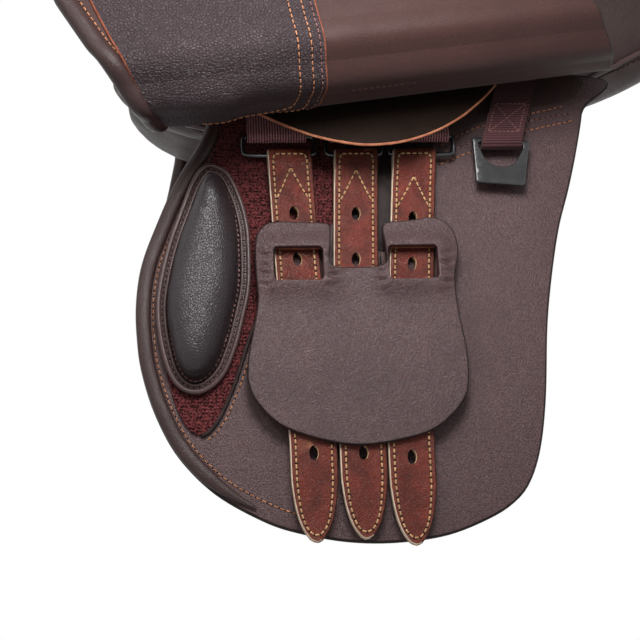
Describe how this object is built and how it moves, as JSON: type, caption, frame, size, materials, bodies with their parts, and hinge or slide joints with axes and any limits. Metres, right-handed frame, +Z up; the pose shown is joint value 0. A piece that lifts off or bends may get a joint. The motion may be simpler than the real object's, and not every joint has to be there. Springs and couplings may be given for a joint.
{
  "type": "all-purpose saddle",
  "caption": "All-purpose English saddle, near flap turned up to show girth straps, buckle guard, web guard, spare ring and knee block; off flap hanging.",
  "frame": {"origin": "mid-plane of the saddle where the panels bear on the back, below the lowest point of the seat", "axes": "-X forward to the pommel, +X to the cantle, -Y near side, +Z up"},
  "size_m": [0.452, 0.5265, 0.4779],
  "materials": {
    "leather_dark": "grained, satin",
    "leather_smooth": "smooth, matte",
    "leather_flap": "grained outside, flesh inside",
    "leather_billet": "smooth, waxed",
    "webbing": "woven",
    "loop_fabric": "napped loops",
    "black_metal": "satin black",
    "steel": "brushed",
    "wood": "laminated, sealed",
    "foam": "soft foam"
  },
  "bodies": {
    "saddle": {"tree": "wood", "gullet_plate": "steel", "seat_webbing": "webbing", "seat_foam": "foam", "seat_cover": "leather_dark", "near_panel": "leather_dark", "near_sweat_flap": "leather_dark", "near_sweat_roll": "leather_dark", "near_loop_pad": "loop_fabric", "near_flap_top": "leather_flap", "near_stirrup_bar": "steel", "near_spare_web": "webbing", "near_front_web": "webbing", "near_front_ring": "black_metal", "near_middle_web": "webbing", "near_middle_ring": "black_metal", "near_rear_web": "webbing", "near_rear_ring": "black_metal", "off_panel": "leather_dark", "off_sweat_flap": "leather_dark", "off_sweat_roll": "leather_dark", "off_loop_pad": "loop_fabric", "off_flap_top": "leather_flap", "off_stirrup_bar": "steel", "off_spare_web": "webbing", "off_front_web": "webbing", "off_front_ring": "black_metal", "off_middle_web": "webbing", "off_middle_ring": "black_metal", "off_rear_web": "webbing", "off_rear_ring": "black_metal"},
    "near_flap_bend_1_body": {"near_flap_bend_1": "leather_flap"},
    "near_flap_bend_2_body": {"near_flap_bend_2": "leather_flap"},
    "near_flap_bend_3_body": {"near_flap_bend_3": "leather_flap"},
    "near_flap_body": {"near_flap": "leather_flap"},
    "near_web_guard_body": {"near_web_guard": "leather_smooth"},
    "near_front_billet_body": {"near_front_billet": "leather_billet"},
    "near_middle_billet_body": {"near_middle_billet": "leather_billet"},
    "near_rear_billet_body": {"near_rear_billet": "leather_billet"},
    "near_buckle_guard_body": {"near_buckle_guard": "leather_smooth"},
    "near_spare_ring_body": {"near_spare_ring": "black_metal"},
    "near_knee_block_body": {"near_knee_block": "leather_dark"},
    "near_bar_catch_body": {"near_bar_catch": "steel"},
    "near_skirt_body": {"near_skirt": "leather_dark"},
    "off_flap_bend_1_body": {"off_flap_bend_1": "leather_flap"},
    "off_flap_bend_2_body": {"off_flap_bend_2": "leather_flap"},
    "off_flap_bend_3_body": {"off_flap_bend_3": "leather_flap"},
    "off_flap_body": {"off_flap": "leather_flap"},
    "off_web_guard_body": {"off_web_guard": "leather_smooth"},
    "off_front_billet_body": {"off_front_billet": "leather_billet"},
    "off_middle_billet_body": {"off_middle_billet": "leather_billet"},
    "off_rear_billet_body": {"off_rear_billet": "leather_billet"},
    "off_buckle_guard_body": {"off_buckle_guard": "leather_smooth"},
    "off_spare_ring_body": {"off_spare_ring": "black_metal"},
    "off_knee_block_body": {"off_knee_block": "leather_dark"},
    "off_bar_catch_body": {"off_bar_catch": "steel"},
    "off_skirt_body": {"off_skirt": "leather_dark"}
  },
  "joints": [
    {"name": "near_flap_lift", "type": "hinge", "parent": "saddle", "child": "near_flap_bend_1_body", "pos_m": [0, -0.17559, 0.01133], "axis": [-0.981, -0.142, -0.132], "range_deg": [-45.5, 0]},
    {"name": "near_flap_fold_2", "type": "hinge", "parent": "near_flap_bend_1_body", "child": "near_flap_bend_2_body", "pos_m": [0.00441, -0.19716, 0.00179], "axis": [-0.981, -0.142, -0.132], "range_deg": [-46.5, 1]},
    {"name": "near_flap_fold_3", "type": "hinge", "parent": "near_flap_bend_2_body", "child": "near_flap_bend_3_body", "pos_m": [0.00638, -0.21927, 0.01093], "axis": [-0.981, -0.142, -0.132], "range_deg": [-46.5, 1]},
    {"name": "near_flap_fold_4", "type": "hinge", "parent": "near_flap_bend_3_body", "child": "near_flap_body", "pos_m": [0.00469, -0.22826, 0.03312], "axis": [-0.981, -0.142, -0.132], "range_deg": [-46.5, 1]},
    {"name": "near_web_guard_swing", "type": "hinge", "parent": "saddle", "child": "near_web_guard_body", "pos_m": [0, -0.17559, 0.01133], "axis": [-0.981, -0.142, -0.132], "range_deg": [-17.5, 0.5]},
    {"name": "near_front_billet_swing", "type": "hinge", "parent": "saddle", "child": "near_front_billet_body", "pos_m": [-0.06024, -0.17486, -0.02937], "axis": [-1, 0, 0], "range_deg": [0, 55]},
    {"name": "near_middle_billet_swing", "type": "hinge", "parent": "saddle", "child": "near_middle_billet_body", "pos_m": [-0.02266, -0.17486, -0.02937], "axis": [-1, 0, 0], "range_deg": [-0.5, 55.5]},
    {"name": "near_rear_billet_swing", "type": "hinge", "parent": "saddle", "child": "near_rear_billet_body", "pos_m": [0.01043, -0.17486, -0.02937], "axis": [-1, 0, 0], "range_deg": [-0.5, 55.5]},
    {"name": "near_buckle_guard_slide", "type": "slide", "parent": "near_front_billet_body", "child": "near_buckle_guard_body", "axis": [-0.012, -0.342, -0.9396], "range_m": [-0.01, 0.012]},
    {"name": "near_spare_ring_swing", "type": "hinge", "parent": "saddle", "child": "near_spare_ring_body", "pos_m": [0.0605, -0.17444, -0.02207], "axis": [-0.9962, 0.0298, 0.0819], "range_deg": [0, 75]},
    {"name": "near_knee_block_pull", "type": "slide", "parent": "saddle", "child": "near_knee_block_body", "axis": [0, -0.9397, 0.342], "range_m": [0, 0.06]},
    {"name": "near_bar_catch_turn", "type": "hinge", "parent": "saddle", "child": "near_bar_catch_body", "pos_m": [-0.07949, -0.15727, 0.05964], "axis": [-0.1907, 0.5819, 0.7906], "range_deg": [0, 80]},
    {"name": "near_skirt_lift", "type": "hinge", "parent": "saddle", "child": "near_skirt_body", "pos_m": [-0.085, -0.0788, 0.11072], "axis": [-0.9544, 0.2126, 0.2096], "range_deg": [0, 9]},
    {"name": "off_flap_lift", "type": "hinge", "parent": "saddle", "child": "off_flap_bend_1_body", "pos_m": [0, 0.17559, 0.01133], "axis": [0.981, -0.142, 0.132], "range_deg": [0, 46.25]},
    {"name": "off_flap_fold_2", "type": "hinge", "parent": "off_flap_bend_1_body", "child": "off_flap_bend_2_body", "pos_m": [0.00413, 0.18332, -0.01101], "axis": [0.981, -0.142, 0.132], "range_deg": [-1, 47.25]},
    {"name": "off_flap_fold_3", "type": "hinge", "parent": "off_flap_bend_2_body", "child": "off_flap_bend_3_body", "pos_m": [0.00825, 0.19106, -0.03335], "axis": [0.981, -0.142, 0.132], "range_deg": [-1, 47.25]},
    {"name": "off_flap_fold_4", "type": "hinge", "parent": "off_flap_bend_3_body", "child": "off_flap_body", "pos_m": [0.01238, 0.1988, -0.05569], "axis": [0.981, -0.142, 0.132], "range_deg": [-1, 47.25]},
    {"name": "off_web_guard_swing", "type": "hinge", "parent": "saddle", "child": "off_web_guard_body", "pos_m": [0, 0.17559, 0.01133], "axis": [0.981, -0.142, 0.132], "range_deg": [-0.5, 17.5]},
    {"name": "off_front_billet_swing", "type": "hinge", "parent": "saddle", "child": "off_front_billet_body", "pos_m": [-0.06024, 0.17486, -0.02937], "axis": [1, 0, 0], "range_deg": [0, 1]},
    {"name": "off_middle_billet_swing", "type": "hinge", "parent": "saddle", "child": "off_middle_billet_body", "pos_m": [-0.02266, 0.17486, -0.02937], "axis": [1, 0, 0], "range_deg": [-0.5, 1.5]},
    {"name": "off_rear_billet_swing", "type": "hinge", "parent": "saddle", "child": "off_rear_billet_body", "pos_m": [0.01043, 0.17486, -0.02937], "axis": [1, 0, 0], "range_deg": [-0.5, 1.5]},
    {"name": "off_buckle_guard_slide", "type": "slide", "parent": "off_front_billet_body", "child": "off_buckle_guard_body", "axis": [-0.012, 0.342, -0.9396], "range_m": [-0.01, 0.012]},
    {"name": "off_spare_ring_swing", "type": "hinge", "parent": "saddle", "child": "off_spare_ring_body", "pos_m": [0.0605, 0.17444, -0.02207], "axis": [0.9962, 0.0298, -0.0819], "range_deg": [0, 6]},
    {"name": "off_knee_block_pull", "type": "slide", "parent": "saddle", "child": "off_knee_block_body", "axis": [0, 0.9397, 0.342], "range_m": [0, 0.002]},
    {"name": "off_bar_catch_turn", "type": "hinge", "parent": "saddle", "child": "off_bar_catch_body", "pos_m": [-0.07949, 0.15727, 0.05964], "axis": [0.1907, 0.5819, -0.7906], "range_deg": [0, 80]},
    {"name": "off_skirt_lift", "type": "hinge", "parent": "saddle", "child": "off_skirt_body", "pos_m": [-0.085, 0.0788, 0.11072], "axis": [0.9544, 0.2126, -0.2096], "range_deg": [0, 9]}
  ],
  "couplings": [
    {"joint": "near_flap_fold_2", "follows": "near_flap_lift", "ratio": 1},
    {"joint": "near_flap_fold_3", "follows": "near_flap_lift", "ratio": 1},
    {"joint": "near_flap_fold_4", "follows": "near_flap_lift", "ratio": 1},
    {"joint": "near_web_guard_swing", "follows": "near_flap_lift", "ratio": 0.36757},
    {"joint": "near_middle_billet_swing", "follows": "near_front_billet_swing", "ratio": 1},
    {"joint": "near_rear_billet_swing", "follows": "near_front_billet_swing", "ratio": 1},
    {"joint": "off_flap_fold_2", "follows": "off_flap_lift", "ratio": 1},
    {"joint": "off_flap_fold_3", "follows": "off_flap_lift", "ratio": 1},
    {"joint": "off_flap_fold_4", "follows": "off_flap_lift", "ratio": 1},
    {"joint": "off_web_guard_swing", "follows": "off_flap_lift", "ratio": 0.36757},
    {"joint": "off_middle_billet_swing", "follows": "off_front_billet_swing", "ratio": 1},
    {"joint": "off_rear_billet_swing", "follows": "off_front_billet_swing", "ratio": 1}
  ]
}
